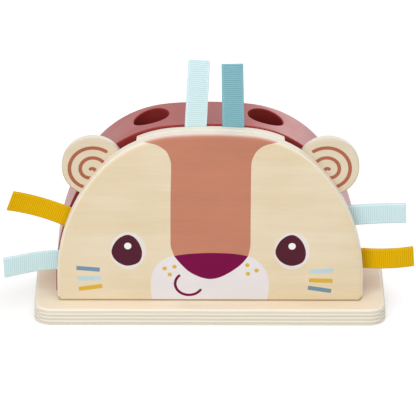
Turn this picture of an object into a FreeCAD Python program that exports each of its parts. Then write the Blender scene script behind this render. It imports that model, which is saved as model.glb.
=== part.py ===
"""Pop-up animal toy: a printed plywood face on a painted block with two sprung holes.

Units are millimetres. The face looks along -Y, +X is to the right for someone who faces it,
and +Z is up. The origin is the centre of the base board's underside. Left and right are as
seen from the front, and a rise is a height above the top of the base board.

From front to back the toy is a face panel, a layer that holds the crest, the ears and a hidden
spacer, and a thick block. Six ribbon loops are gripped between the layer and the block. Each
vertical hole in the block opens into a wider chamber from below, where a spring on the base
board lifts a round plunger against the shoulder.
"""
import FreeCAD
import Part
import math
import os
from collections import namedtuple
from FreeCAD import Vector

# --- base board -------------------------------------------------------------------------
BASE_THICK = 12.0
BASE_SIDE_MARGIN = 15.8
BASE_FRONT_MARGIN = 14.5
BASE_CORNER_R = 12.0
BASE_TOP_ROUND = 3.0
BASE_FOOT_ROUND = 1.5

# --- outline of the face: straight foot, side arc, shoulder arc, top arc ------------------
# The side arc ends and the shoulder arc starts where the outline has leaned in by SIDE_LEAN
# and lies SHOULDER_DROP below the crown. The block's outline is drawn in the same way.
FACE_WIDTH = 210.0
FACE_RISE = 124.2
FOOT_RISE = 16.5
SIDE_LEAN = 28.9
SHOULDER_DROP = 27.5
TOP_R = 295.0
FACE_CORNER_R = 3.5
FACE_THICK = 9.0
FACE_ROUND = 2.8

# --- layer between the face and the block ---------------------------------------------------
LAYER_THICK = 6.5
SPACER_INSET = 8.0
CREST_HALF_WIDTH = 50.4
CREST_ABOVE_FACE = 0.4
CREST_DROP = 16.0
CREST_END_ROUND = 1.6
CREST_ROUND = 0.8
EAR_R = 21.4
EAR_RISE = 96.5
EAR_BEYOND_OUTLINE = 3.7
EAR_ROUND = 1.0
EAR_SEAT_GAP = 0.3

# --- painted block, glued on a little to the left of the face --------------------------------
# It rises a little above the face and leans in sooner, so that little of it shows at the sides.
BLOCK_ACROSS = -1.5
BLOCK_DEPTH = 40.0
BLOCK_ABOVE_FACE = 1.5
BLOCK_SIDE_STEP = 0.3
BLOCK_FOOT_RISE = 10.0
BLOCK_SIDE_LEAN = 22.0
BLOCK_SHOULDER_DROP = 36.25
BLOCK_ROUND = 1.2

# --- sprung holes ----------------------------------------------------------------------------
HOLE_R = 12.0
HOLE_ACROSS = 38.9
HOLE_BEHIND_MIDDLE = 1.5
HOLE_RIM_ROUND = 0.8
SHOULDER_RISE = 76.0
SHOULDER_WIDTH = 2.0
PLUNGER_GAP = 0.3
PLUNGER_THICK = 12.0
PLUNGER_ROUND = 0.5
DISH_EDGE_GAP = 0.5
DISH_DEPTH = 0.6
HUB_LENGTH = 5.0
SPRING_WIRE_R = 0.7
SPRING_TURNS = 8
SPRING_CHAMBER_GAP = 2.5
SPRING_HUB_GAP = 0.4
SPRING_SEAT_GAP = 0.8
SPRING_SEAT_DEPTH = 3.0

# --- ribbon loops -----------------------------------------------------------------------------
RIBBON_WIDTH = 14.6
RIBBON_THICK = 1.2
RIBBON_GRIP = 6.0
RIBBON_FLAT_RUN = 1.6
RIBBON_POCKET_SIDE_GAP = 0.4
RIBBON_POCKET_END_GAP = 0.4
RIBBON_CLEAR = 0.05

# --- dowels and screws ------------------------------------------------------------------------
PANEL_DOWEL_R = 4.0
SMALL_DOWEL_R = 3.0
DOWEL_IN_FACE = 5.0
DOWEL_IN_BLOCK = 8.0
DOWEL_CLEAR = 0.05
DOWEL_END_GAP = 0.5
LOW_DOWEL_FROM_SIDE = 29.0
LOW_DOWEL_RISE = 25.0
HIGH_DOWEL_RISE = 70.0
CREST_DOWEL_FROM_END = 20.0
CREST_DOWEL_ABOVE_SEAM = 7.0
EAR_DOWEL_OFFSET = 12.0
SCREW_R = 2.0
SCREW_HEAD_R = 4.0
SCREW_HEAD_SINK = 0.5
SCREW_IN_BLOCK = 28.0
SCREW_POINT = 4.0
SCREW_CLEAR = 0.05
SCREW_FROM_SIDE = 18.0
SCREW_INNER_ACROSS = 12.0
RECESS_WIDTH = 1.0
RECESS_LENGTH = 4.2
RECESS_DEPTH = 1.8

# --- where each ribbon leaves the outline, and how far it reaches -------------------------------
TOP_LEFT_ACROSS = -10.2
TOP_RIGHT_ACROSS = 15.4
LEFT_UPPER_RISE = 57.0
LEFT_LOWER_RISE = 24.0
RIGHT_UPPER_RISE = 58.4
RIGHT_LOWER_RISE = 25.7
TOP_LEFT_REACH = 46.7
TOP_RIGHT_REACH = 44.8
LEFT_UPPER_REACH = 40.8
LEFT_LOWER_REACH = 36.7
RIGHT_UPPER_REACH = 36.4
RIGHT_LOWER_REACH = 35.4

# A ribbon leaves the outline at its place: across on the top, or a rise on a side. It heads that
# way in the face's plane (degrees from +X towards +Z). The rest are shares of its reach: its
# slopes towards the back where it leaves and at its tip, and how far back the tip lies.
Ribbon = namedtuple("Ribbon", "side place heading reach start_slope end_slope tip_back")
RIBBONS = {
    "ribbon_top_left": Ribbon("top", TOP_LEFT_ACROSS, 87.2, TOP_LEFT_REACH, 0.02, 0.22, 0.11),
    "ribbon_top_right": Ribbon("top", TOP_RIGHT_ACROSS, 91.2, TOP_RIGHT_REACH, 0.02, 0.16, 0.09),
    "ribbon_left_upper": Ribbon("left", LEFT_UPPER_RISE, 160.5, LEFT_UPPER_REACH, 0.20, -0.42, -0.11),
    "ribbon_left_lower": Ribbon("left", LEFT_LOWER_RISE, 182.4, LEFT_LOWER_REACH, 0.05, -0.38, -0.27),
    "ribbon_right_upper": Ribbon("right", RIGHT_UPPER_RISE, 2.2, RIGHT_UPPER_REACH, 0.13, -0.08, 0.01),
    "ribbon_right_lower": Ribbon("right", RIGHT_LOWER_RISE, 3.8, RIGHT_LOWER_REACH, -0.30, 0.25, -0.04),
}

# --- outlines and places that follow -------------------------------------------------------------
Arch = namedtuple("Arch", "width rise foot_rise side_lean shoulder_drop top_r")
FACE_ARCH = Arch(FACE_WIDTH, FACE_RISE, FOOT_RISE, SIDE_LEAN, SHOULDER_DROP, TOP_R)
BLOCK_ARCH = Arch(FACE_WIDTH - 2 * BLOCK_SIDE_STEP, FACE_RISE + BLOCK_ABOVE_FACE, BLOCK_FOOT_RISE,
                  BLOCK_SIDE_LEAN, BLOCK_SHOULDER_DROP, TOP_R + BLOCK_ABOVE_FACE)

STACK_DEPTH = FACE_THICK + LAYER_THICK + BLOCK_DEPTH
BASE_WIDTH = FACE_WIDTH + 2 * BASE_SIDE_MARGIN
BASE_DEPTH = STACK_DEPTH + 2 * BASE_FRONT_MARGIN
FACE_FRONT = -STACK_DEPTH / 2
LAYER_FRONT = FACE_FRONT + FACE_THICK
BLOCK_FRONT = LAYER_FRONT + LAYER_THICK
BLOCK_BACK = BLOCK_FRONT + BLOCK_DEPTH
BLOCK_MIDDLE = (BLOCK_FRONT + BLOCK_BACK) / 2
HOLE_Y = BLOCK_MIDDLE + HOLE_BEHIND_MIDDLE
HOLE_CENTRES = {"left": BLOCK_ACROSS - HOLE_ACROSS, "right": BLOCK_ACROSS + HOLE_ACROSS}
SIDES = {"left": -1, "right": 1}
CREST_SEAM = BASE_THICK + FACE_RISE - CREST_DROP
SHOULDER_Z = BASE_THICK + SHOULDER_RISE
CHAMBER_R = HOLE_R + SHOULDER_WIDTH
PLUNGER_FOOT = SHOULDER_Z - PLUNGER_THICK
SPRING_FOOT = BASE_THICK - SPRING_SEAT_DEPTH
SPRING_R = CHAMBER_R - SPRING_CHAMBER_GAP
SPRING_MEAN_R = SPRING_R - SPRING_WIRE_R
HUB_R = SPRING_MEAN_R - SPRING_WIRE_R - SPRING_HUB_GAP
RIBBON_TAIL = SPACER_INSET + RIBBON_GRIP
WELL_ABOVE = 2 * FACE_RISE


def unit(vector):
    return vector * (1 / vector.Length)


def in_plane(across, rise, y):
    """A point given by its place across and its rise above the base board."""
    return Vector(across, y, BASE_THICK + rise)


def mirrored(point):
    return Vector(-point.x, point.y, point.z)


def outline_arcs(arch):
    """Centres and radii of the top, shoulder and side arcs on the right, which meet smoothly."""
    down = arch.rise - arch.shoulder_drop - arch.foot_rise
    side_r = (arch.side_lean ** 2 + down ** 2) / (2 * arch.side_lean)
    side_centre = Vector(arch.width / 2 - side_r, 0, arch.foot_rise)
    top_centre = Vector(0, 0, arch.rise - arch.top_r)
    joint = Vector(arch.width / 2 - arch.side_lean, 0, arch.rise - arch.shoulder_drop)
    outward = unit(joint - side_centre)
    from_top = joint - top_centre
    shoulder_r = (arch.top_r ** 2 - from_top.Length ** 2) / (2 * (arch.top_r - from_top.dot(outward)))
    return (top_centre, arch.top_r), (joint - outward * shoulder_r, shoulder_r), (side_centre, side_r)


def outline(arch, grow, y):
    """Closed outline of an arch, moved outwards by grow, at depth y."""
    (top_centre, top_r), (shoulder_centre, shoulder_r), (side_centre, side_r) = outline_arcs(arch)
    to_top = unit(shoulder_centre - top_centre)
    to_side = unit(shoulder_centre - side_centre)
    lift = Vector(0, y, BASE_THICK)
    half = arch.width / 2 + grow
    foot = Vector(half, 0, 0) + lift
    side_start = Vector(half, 0, arch.foot_rise) + lift
    side_end = side_centre + to_side * (side_r + grow) + lift
    shoulder_end = top_centre + to_top * (top_r + grow) + lift
    crown = Vector(0, 0, arch.rise + grow) + lift
    side_middle = side_centre + unit(to_side + Vector(1, 0, 0)) * (side_r + grow) + lift
    shoulder_middle = shoulder_centre + unit(to_side + to_top) * (shoulder_r + grow) + lift
    edges = [
        Part.makeLine(mirrored(foot), foot),
        Part.makeLine(foot, side_start),
        Part.Arc(side_start, side_middle, side_end).toShape(),
        Part.Arc(side_end, shoulder_middle, shoulder_end).toShape(),
        Part.Arc(shoulder_end, crown, mirrored(shoulder_end)).toShape(),
        Part.Arc(mirrored(shoulder_end), mirrored(shoulder_middle), mirrored(side_end)).toShape(),
        Part.Arc(mirrored(side_end), mirrored(side_middle), mirrored(side_start)).toShape(),
        Part.makeLine(mirrored(side_start), mirrored(foot)),
    ]
    return Part.Wire(edges)


def arc_reach(centre, radius, known):
    """How far an arc's point lies from its centre along one axis, from its place on the other."""
    return math.sqrt(radius ** 2 - (known - centre) ** 2)


def outline_across(rise):
    """Half the face's width at a rise on its foot, side or shoulder."""
    (shoulder_centre, shoulder_r), (side_centre, side_r) = outline_arcs(FACE_ARCH)[1:]
    if rise <= FOOT_RISE:
        return FACE_WIDTH / 2
    if rise <= FACE_RISE - SHOULDER_DROP:
        return side_centre.x + arc_reach(side_centre.z, side_r, rise)
    return shoulder_centre.x + arc_reach(shoulder_centre.z, shoulder_r, rise)


def outline_rise(across):
    """The face's rise at a place across its top arc."""
    return FACE_RISE - TOP_R + arc_reach(0, TOP_R, across)


def slab(arch, grow, front, thick):
    """A board of an arch's outline, moved outwards by grow."""
    return Part.Face(outline(arch, grow, front)).extrude(Vector(0, thick, 0))


def rod(radius, length, start, way):
    return Part.makeCylinder(radius, length, start, way)


def edges_at_depth(shape, y):
    """Edges that lie wholly in the plane at depth y."""
    return [e for e in shape.Edges if abs(e.BoundBox.YMin - y) < 1e-4 and abs(e.BoundBox.YMax - y) < 1e-4]


def edges_at_height(shape, z):
    return [e for e in shape.Edges if abs(e.BoundBox.ZMin - z) < 1e-4 and abs(e.BoundBox.ZMax - z) < 1e-4]


def upright_edges(shape):
    return [e for e in shape.Edges if e.BoundBox.XLength < 1e-4 and e.BoundBox.YLength < 1e-4]


# --- dowels ---------------------------------------------------------------------------------

def ear_across():
    """How far an ear's centre lies from the middle."""
    return outline_across(EAR_RISE) + EAR_BEYOND_OUTLINE


def ear_dowel_places():
    """On each disc, a place towards the middle of the face, which hides it."""
    step = EAR_DOWEL_OFFSET * math.sqrt(0.5)
    return [(side * (ear_across() - step), EAR_RISE - step) for side in SIDES.values()]


def crest_dowel_places():
    rise = CREST_SEAM - BASE_THICK + CREST_DOWEL_ABOVE_SEAM
    across = CREST_HALF_WIDTH - CREST_DOWEL_FROM_END
    return [(side * across, rise) for side in SIDES.values()]


def panel_dowel_places():
    across = FACE_WIDTH / 2 - LOW_DOWEL_FROM_SIDE
    low = [(side * across, LOW_DOWEL_RISE) for side in SIDES.values()]
    return low + [(0, HIGH_DOWEL_RISE)]


def dowel(place, radius, extra_radius=0.0, extra_length=0.0):
    """One dowel from inside the face, through the layer, into the block; or its hole."""
    start = in_plane(place[0], place[1], LAYER_FRONT - DOWEL_IN_FACE - extra_length)
    length = DOWEL_IN_FACE + LAYER_THICK + DOWEL_IN_BLOCK + 2 * extra_length
    return rod(radius + extra_radius, length, start, Vector(0, 1, 0))


def dowels(places, radius):
    return Part.makeCompound([dowel(place, radius) for place in places])


def dowel_holes():
    """Every dowel's hole, to be cut from the boards that it passes through."""
    large = [dowel(p, PANEL_DOWEL_R, DOWEL_CLEAR, DOWEL_END_GAP) for p in panel_dowel_places()]
    small_places = crest_dowel_places() + ear_dowel_places()
    return large + [dowel(p, SMALL_DOWEL_R, DOWEL_CLEAR, DOWEL_END_GAP) for p in small_places]


# --- ribbons --------------------------------------------------------------------------------

def ribbon_frame(ribbon):
    """Start point, way along the ribbon and way across its width."""
    turn = math.radians(ribbon.heading)
    along = Vector(math.cos(turn), 0, math.sin(turn))
    across = Vector(-math.sin(turn), 0, math.cos(turn))
    depth = BLOCK_FRONT - RIBBON_CLEAR - RIBBON_THICK / 2
    if ribbon.side == "top":
        return in_plane(ribbon.place, outline_rise(ribbon.place), depth), along, across
    start = SIDES[ribbon.side] * outline_across(ribbon.place)
    return in_plane(start, ribbon.place, depth), along, across


def ribbon_curve(ribbon, offset):
    """One face of the ribbon, seen edge-on: straight until it clears the block, then a soft bend."""
    start, along, across = ribbon_frame(ribbon)
    edge = start - across * (RIBBON_WIDTH / 2)
    back = Vector(0, 1, 0)

    def at(distance, shift, slope):
        tilt = math.hypot(1, slope)
        out = along * (distance - offset * slope / tilt)
        return edge + out + back * (shift + offset / tilt)

    tail = at(-RIBBON_TAIL, 0, 0)
    leave = at(RIBBON_FLAT_RUN, 0, 0)
    tip = at(ribbon.reach, ribbon.reach * ribbon.tip_back, ribbon.end_slope)
    first = unit(along + back * ribbon.start_slope)
    last = unit(along + back * ribbon.end_slope)
    bend = Part.BSplineCurve()
    bend.interpolate(Points=[leave, tip], InitialTangent=first, FinalTangent=last)
    return Part.makeLine(tail, leave), bend.toShape()


def ribbon_solid(ribbon):
    """A folded ribbon: the two layers of the loop as one flat band."""
    front_tail, front_bend = ribbon_curve(ribbon, -RIBBON_THICK / 2)
    back_tail, back_bend = ribbon_curve(ribbon, RIBBON_THICK / 2)
    tip = Part.makeLine(front_bend.lastVertex().Point, back_bend.lastVertex().Point)
    root = Part.makeLine(back_tail.firstVertex().Point, front_tail.firstVertex().Point)
    edges = Part.sortEdges([front_tail, front_bend, tip, back_bend, back_tail, root])[0]
    across = ribbon_frame(ribbon)[2]
    return Part.Face(Part.Wire(edges)).extrude(across * RIBBON_WIDTH)


def ribbon_pocket(ribbon):
    """The shallow pocket in the back of the layer that takes a ribbon's tail."""
    start, along, across = ribbon_frame(ribbon)
    half = RIBBON_WIDTH / 2 + RIBBON_POCKET_SIDE_GAP
    depth = RIBBON_THICK + 2 * RIBBON_CLEAR
    inner = along * -(RIBBON_TAIL + RIBBON_POCKET_END_GAP)
    outer = along * RIBBON_TAIL
    plane = Vector(start.x, BLOCK_FRONT - depth, start.z)
    corners = [plane + way + across * side for way, side in
               ((inner, -half), (outer, -half), (outer, half), (inner, half))]
    return Part.Face(Part.makePolygon(corners + corners[:1])).extrude(Vector(0, depth, 0))


# --- boards ---------------------------------------------------------------------------------

def face_panel():
    board = slab(FACE_ARCH, 0, FACE_FRONT, FACE_THICK)
    corners = [e for e in edges_at_height(board, BASE_THICK) if e.BoundBox.YLength > FACE_THICK / 2]
    board = board.makeFillet(FACE_CORNER_R, corners)
    board = board.makeFillet(FACE_ROUND, edges_at_depth(board, FACE_FRONT))
    return board.cut(dowel_holes())


def above_seam(half_width):
    """A tall box over the seam between the spacer and the crest, as deep as their layer."""
    corner = Vector(-half_width, LAYER_FRONT, CREST_SEAM)
    return Part.makeBox(2 * half_width, LAYER_THICK, WELL_ABOVE, corner)


def ear_disc(side, radius):
    return rod(radius, LAYER_THICK, in_plane(side * ear_across(), EAR_RISE, LAYER_FRONT), Vector(0, 1, 0))


def layer_cuts():
    """What is cut from the layer's boards: seats for the ears, ribbon pockets, dowel holes."""
    seats = [ear_disc(side, EAR_R + EAR_SEAT_GAP) for side in SIDES.values()]
    return seats + [ribbon_pocket(r) for r in RIBBONS.values()] + dowel_holes()


def crest_strip():
    board = slab(FACE_ARCH, CREST_ABOVE_FACE, LAYER_FRONT, LAYER_THICK)
    strip = board.common(above_seam(CREST_HALF_WIDTH))
    above = CREST_SEAM + CREST_END_ROUND
    across_layer = [e for e in strip.Edges if e.BoundBox.YLength > LAYER_THICK / 2]
    strip = strip.makeFillet(CREST_END_ROUND, [e for e in across_layer if e.BoundBox.ZMin > above])
    strip = strip.makeFillet(CREST_ROUND, edges_at_depth(strip, BLOCK_FRONT))
    return strip.cut(layer_cuts())


def ear(side):
    disc = ear_disc(side, EAR_R)
    disc = disc.makeFillet(EAR_ROUND, edges_at_depth(disc, LAYER_FRONT))
    return disc.cut(dowel_holes())


def spacer_panel():
    """The hidden board that fills the layer below the crest and between the ears."""
    board = slab(FACE_ARCH, -SPACER_INSET, LAYER_FRONT, LAYER_THICK)
    return board.cut([above_seam(FACE_WIDTH)] + layer_cuts())


def block():
    """The painted block, with two stepped holes and the pilots of the screws."""
    body = slab(BLOCK_ARCH, 0, BLOCK_FRONT, BLOCK_DEPTH)
    body.translate(Vector(BLOCK_ACROSS, 0, 0))
    rims = edges_at_depth(body, BLOCK_FRONT) + edges_at_depth(body, BLOCK_BACK)
    rims = [e for e in rims if e.BoundBox.ZMax > BASE_THICK + 1e-3]
    body = body.makeFillet(BLOCK_ROUND, rims)
    for across in HOLE_CENTRES.values():
        foot = Vector(across, HOLE_Y, BASE_THICK)
        body = body.cut(rod(HOLE_R, WELL_ABOVE, foot, Vector(0, 0, 1)))
    body = body.makeFillet(HOLE_RIM_ROUND, [e for e in body.Edges if is_rim_edge(e)])
    for across in HOLE_CENTRES.values():
        foot = Vector(across, HOLE_Y, BASE_THICK)
        body = body.cut(rod(CHAMBER_R, SHOULDER_RISE, foot, Vector(0, 0, 1)))
    return body.cut(dowel_holes() + screw_pilots())


def is_rim_edge(edge):
    """True for an edge that runs round the top of a hole."""
    aways = [math.hypot(abs(p.x - BLOCK_ACROSS) - HOLE_ACROSS, p.y - HOLE_Y) for p in edge.discretize(5)]
    return edge.BoundBox.ZMin > SHOULDER_Z and all(abs(away - HOLE_R) < 1e-3 for away in aways)


def base_board():
    low = Vector(-BASE_WIDTH / 2, -BASE_DEPTH / 2, 0)
    board = Part.makeBox(BASE_WIDTH, BASE_DEPTH, BASE_THICK, low)
    board = board.makeFillet(BASE_CORNER_R, upright_edges(board))
    board = board.makeFillet(BASE_TOP_ROUND, edges_at_height(board, BASE_THICK))
    board = board.makeFillet(BASE_FOOT_ROUND, edges_at_height(board, 0))
    feet = [Vector(across, HOLE_Y, SPRING_FOOT) for across in HOLE_CENTRES.values()]
    seats = [rod(SPRING_R + SPRING_SEAT_GAP, BASE_THICK, foot, Vector(0, 0, 1)) for foot in feet]
    return board.cut(seats + screw_holes())


# --- screws ---------------------------------------------------------------------------------

def screw_places():
    places = (FACE_WIDTH / 2 - SCREW_FROM_SIDE, SCREW_INNER_ACROSS)
    return [(side * across, BLOCK_MIDDLE) for across in places for side in SIDES.values()]


def screw_body(place, extra=0.0):
    """A countersunk screw from below, without its drive; or its hole when extra is given."""
    up = Vector(0, 0, 1)
    head_foot = Vector(place[0], place[1], SCREW_HEAD_SINK)
    cone_height = SCREW_HEAD_R - SCREW_R
    cone = Part.makeCone(SCREW_HEAD_R + extra, SCREW_R + extra, cone_height, head_foot, up)
    straight = BASE_THICK + SCREW_IN_BLOCK - SCREW_HEAD_SINK - cone_height - SCREW_POINT
    shank_foot = head_foot + up * cone_height
    shank = rod(SCREW_R + extra, straight, shank_foot, up)
    point = Part.makeCone(SCREW_R + extra, extra, SCREW_POINT, shank_foot + up * straight, up)
    return cone.fuse([shank, point]).removeSplitter()


def drive_recess(place):
    """A plain cross recess in a screw's head."""
    foot = Vector(place[0], place[1], SCREW_HEAD_SINK)
    long_bar = Part.makeBox(RECESS_LENGTH, RECESS_WIDTH, RECESS_DEPTH,
                            foot - Vector(RECESS_LENGTH / 2, RECESS_WIDTH / 2, 0))
    cross_bar = Part.makeBox(RECESS_WIDTH, RECESS_LENGTH, RECESS_DEPTH,
                             foot - Vector(RECESS_WIDTH / 2, RECESS_LENGTH / 2, 0))
    return [long_bar, cross_bar]


def base_screws():
    return Part.makeCompound([screw_body(p).cut(drive_recess(p)) for p in screw_places()])


def screw_holes():
    """Countersunk holes through the base board, open at its underside."""
    mouths = [rod(SCREW_HEAD_R + SCREW_CLEAR, SCREW_HEAD_SINK, Vector(x, y, 0), Vector(0, 0, 1))
              for x, y in screw_places()]
    return mouths + screw_pilots()


def screw_pilots():
    return [screw_body(p, SCREW_CLEAR) for p in screw_places()]


# --- sprung parts -----------------------------------------------------------------------------

def plunger(across):
    """A turned disc under the shoulder, dished on top, with a hub that centres the spring."""
    foot = Vector(across, HOLE_Y, PLUNGER_FOOT)
    disc = rod(CHAMBER_R - PLUNGER_GAP, PLUNGER_THICK, foot, Vector(0, 0, 1))
    rims = edges_at_height(disc, SHOULDER_Z) + edges_at_height(disc, PLUNGER_FOOT)
    disc = disc.makeFillet(PLUNGER_ROUND, rims)
    dish_foot = Vector(across, HOLE_Y, SHOULDER_Z - DISH_DEPTH)
    disc = disc.cut(rod(HOLE_R + DISH_EDGE_GAP, PLUNGER_THICK, dish_foot, Vector(0, 0, 1)))
    hub = rod(HUB_R, HUB_LENGTH, foot, Vector(0, 0, -1))
    hub = hub.makeFillet(PLUNGER_ROUND, edges_at_height(hub, PLUNGER_FOOT - HUB_LENGTH))
    return disc.fuse(hub)


def spring(across):
    """A compression spring between the base board and the plunger, made of tilted half rings."""
    low = SPRING_FOOT + SPRING_WIRE_R
    step = (PLUNGER_FOOT - SPRING_WIRE_R - low) / (2 * SPRING_TURNS)
    ring_r = math.hypot(SPRING_MEAN_R, step / 2)
    tilt = math.degrees(math.atan2(step / 2, SPRING_MEAN_R))
    halves = []
    for count in range(2 * SPRING_TURNS):
        back = count % 2 == 1
        half = Part.makeTorus(ring_r, SPRING_WIRE_R, Vector(), Vector(0, 0, 1), -180, 180, 180)
        half.rotate(Vector(), Vector(0, 0, 1), 180 if back else 0)
        half.rotate(Vector(), Vector(0, 1, 0), -tilt if back else tilt)
        half.translate(Vector(across, HOLE_Y, low + step * (count + 0.5)))
        halves.append(half)
    return halves[0].fuse(halves[1:])


def pieces():
    """Every node's name and shape."""
    made = {
        "base_board": base_board(),
        "arch_block": block(),
        "spacer_panel": spacer_panel(),
        "crest_strip": crest_strip(),
        "face_panel": face_panel(),
        "panel_dowels": dowels(panel_dowel_places(), PANEL_DOWEL_R),
        "crest_dowels": dowels(crest_dowel_places(), SMALL_DOWEL_R),
        "ear_dowels": dowels(ear_dowel_places(), SMALL_DOWEL_R),
        "base_screws": base_screws(),
    }
    for name, side in SIDES.items():
        made["ear_" + name] = ear(side)
    for name, across in HOLE_CENTRES.items():
        made["plunger_" + name] = plunger(across)
        made["spring_" + name] = spring(across)
    for name, ribbon in RIBBONS.items():
        made[name] = ribbon_solid(ribbon)
    return made


def main():
    os.makedirs("parts", exist_ok=True)
    for name, shape in pieces().items():
        shape.exportStep("parts/" + name + ".step")
        print(name, shape.isValid(), len(shape.Solids), round(shape.Volume, 1))


main()
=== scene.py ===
"""Looks of the pop-up animal toy: printed boards, ribbon loops, finishes, studio and camera.

The source's sizes are repeated here in millimetres, and meshes are made in metres. A rise is a
height above the top of the base board, and across is measured from the middle, right positive.
"""
import bmesh
import bpy
import math
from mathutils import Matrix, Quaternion, Vector
from mathutils.geometry import delaunay_2d_cdt


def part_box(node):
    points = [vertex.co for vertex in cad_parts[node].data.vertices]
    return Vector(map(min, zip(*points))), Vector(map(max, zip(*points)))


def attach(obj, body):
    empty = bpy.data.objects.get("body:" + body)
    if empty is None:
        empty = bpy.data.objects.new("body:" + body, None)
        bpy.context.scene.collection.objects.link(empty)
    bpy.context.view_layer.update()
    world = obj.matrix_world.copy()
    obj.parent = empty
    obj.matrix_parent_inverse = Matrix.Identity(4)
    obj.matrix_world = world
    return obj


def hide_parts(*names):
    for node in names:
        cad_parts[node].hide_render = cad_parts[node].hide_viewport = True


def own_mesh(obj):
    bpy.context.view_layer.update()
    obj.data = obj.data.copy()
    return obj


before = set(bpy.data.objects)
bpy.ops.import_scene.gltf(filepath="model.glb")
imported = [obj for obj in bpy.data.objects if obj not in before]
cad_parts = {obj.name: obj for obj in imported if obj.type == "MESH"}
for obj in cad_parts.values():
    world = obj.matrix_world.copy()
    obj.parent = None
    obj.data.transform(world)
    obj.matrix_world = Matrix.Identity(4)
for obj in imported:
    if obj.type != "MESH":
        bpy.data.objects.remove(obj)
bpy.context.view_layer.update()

MM = 0.001

# --- sizes repeated from the toy's source ---------------------------------------------------
BASE_THICK = 12.0
FACE_WIDTH = 210.0
FACE_RISE = 124.2
FOOT_RISE = 16.5
SIDE_LEAN = 28.9
SHOULDER_DROP = 27.5
TOP_R = 295.0
FACE_CORNER_R = 3.5
FACE_ROUND = 2.8
EAR_R = 21.4
EAR_ROUND = 1.0
BLOCK_ACROSS = -1.5
BLOCK_FRONT = -12.25
HOLE_R = 12.0
HOLE_ACROSS = 38.9
HOLE_Y = 9.25
SPACER_INSET = 8.0
RIBBON_GRIP = 6.0
RIBBON_FLAT_RUN = 1.6
RIBBON_WIDTH = 14.6
RIBBON_THICK = 1.2
RIBBON_CLEAR = 0.05

# name: slot, side, place, heading, reach, slope at the start, slope at the tip, tip's shift back
RIBBONS = {
    "ribbon_top_left": ("pale_blue_ribbon", "top", -10.2, 87.2, 46.7, 0.02, 0.22, 0.11),
    "ribbon_top_right": ("teal_ribbon", "top", 15.4, 91.2, 44.8, 0.02, 0.16, 0.09),
    "ribbon_left_upper": ("mustard_ribbon", "left", 57.0, 160.5, 40.8, 0.20, -0.42, -0.11),
    "ribbon_left_lower": ("pale_blue_ribbon", "left", 24.0, 182.4, 36.7, 0.05, -0.38, -0.27),
    "ribbon_right_upper": ("pale_blue_ribbon", "right", 58.4, 2.2, 36.4, 0.13, -0.08, 0.01),
    "ribbon_right_lower": ("mustard_ribbon", "right", 25.7, 3.8, 35.4, -0.30, 0.25, -0.04),
}

# --- sizes of the finish -------------------------------------------------------------------
OUTLINE_STEP = 1.6
ROUND_RINGS = 7
FOOT_EDGE_ROUND = 1.4
BACK_EDGE_ROUND = 0.35
BASE_PLIES = 9
FACE_PLIES = 7
LAYER_PLIES = 5
SPIRAL_CENTRES = {"left": (-81.2, 94.1), "right": (80.2, 94.5)}
SPIRAL_WIDTH = 2.5
SPIRAL_START = 0.6
SPIRAL_SWEEP = 11.02
SPIRAL_STEPS = 129
SPIRAL_INNER_R = 3.65
SPIRAL_SPREAD = 1.18
SMILE_WIDTH = 1.9
WHISKER_WIDTH = 3.1
HIGHLIGHT_R = 2.5
DOT_R = 1.5
RIB_PITCH = 1.45
RIB_HEIGHT = 0.11
RIB_MIDDLE = 0.62
RIB_END_STEP = 0.12
SELVEDGE = 1.1
SELVEDGE_FLAT = 0.98
CLOTH_THICK = 0.42
LOOP_GAP = 0.16
LOOP_PUFF = 0.35
LOOP_PUFF_EASE = 0.35
LOOP_SKEW = 0.25
TIP_BLUNT = 0.9
TAIL_STEPS = 12
LOOP_STEPS = 60
TIP_STEPS = 12
SAMPLES_PER_RIB = 7
STRIP_COLUMNS = 8


def paint(red, green, blue):
    """A colour given as it looks on a screen, 0 to 255, as Blender's linear colour."""
    def linear(level):
        level /= 255
        return level / 12.92 if level <= 0.04045 else ((level + 0.055) / 1.055) ** 2.4
    return (linear(red), linear(green), linear(blue), 1.0)


# --- shapes drawn flat on a board: lists of (across, rise) -----------------------------------

def through(points, closed=False, steps=8):
    """A smooth line through the points."""
    count = len(points)
    line = []
    for i in range(count if closed else count - 1):
        if closed:
            four = [Vector(points[(i + k - 1) % count]) for k in range(4)]
        else:
            four = [Vector(points[min(max(i + k - 1, 0), count - 1)]) for k in range(4)]
        before, here, there, after = four
        for k in range(steps):
            t = k / steps
            bend = (there - before) * t
            bend += (2 * before - 5 * here + 4 * there - after) * t * t
            bend += (3 * here - before - 3 * there + after) * t ** 3
            line.append(here + bend / 2)
    if not closed:
        line.append(Vector(points[-1]))
    return line


def ellipse(centre, half_width, half_height, steps=64):
    turns = [2 * math.pi * i / steps for i in range(steps)]
    return [Vector((centre[0] + half_width * math.cos(a), centre[1] + half_height * math.sin(a)))
            for a in turns]


def whisker(start, end):
    """A straight bar with square ends."""
    along = (Vector(end) - Vector(start)).normalized()
    side = Vector((-along.y, along.x)) * WHISKER_WIDTH / 2
    return [Vector(start) - side, Vector(end) - side, Vector(end) + side, Vector(start) + side]


def stroke(line, width, cap_steps=8):
    """A brush line of one width with round ends."""
    sides = []
    for i, point in enumerate(line):
        along = (line[min(i + 1, len(line) - 1)] - line[max(i - 1, 0)]).normalized()
        sides.append(Vector((-along.y, along.x)) * width / 2)
    shape = [point - side for point, side in zip(line, sides)]
    for end, start_turn in ((len(line) - 1, -math.pi / 2), (0, math.pi / 2)):
        ahead = Vector((sides[end].y, -sides[end].x))
        if end == 0:
            shape += [point + side for point, side in zip(reversed(line), reversed(sides))]
        for k in range(1, cap_steps):
            turn = start_turn + math.pi * k / cap_steps
            shape.append(line[end] + ahead * math.cos(turn) + sides[end] * math.sin(turn))
    return shape


def anticlockwise(shape):
    turned = sum(a[0] * b[1] - b[0] * a[1] for a, b in zip(shape, shape[1:] + shape[:1]))
    return shape if turned > 0 else shape[::-1]


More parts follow.
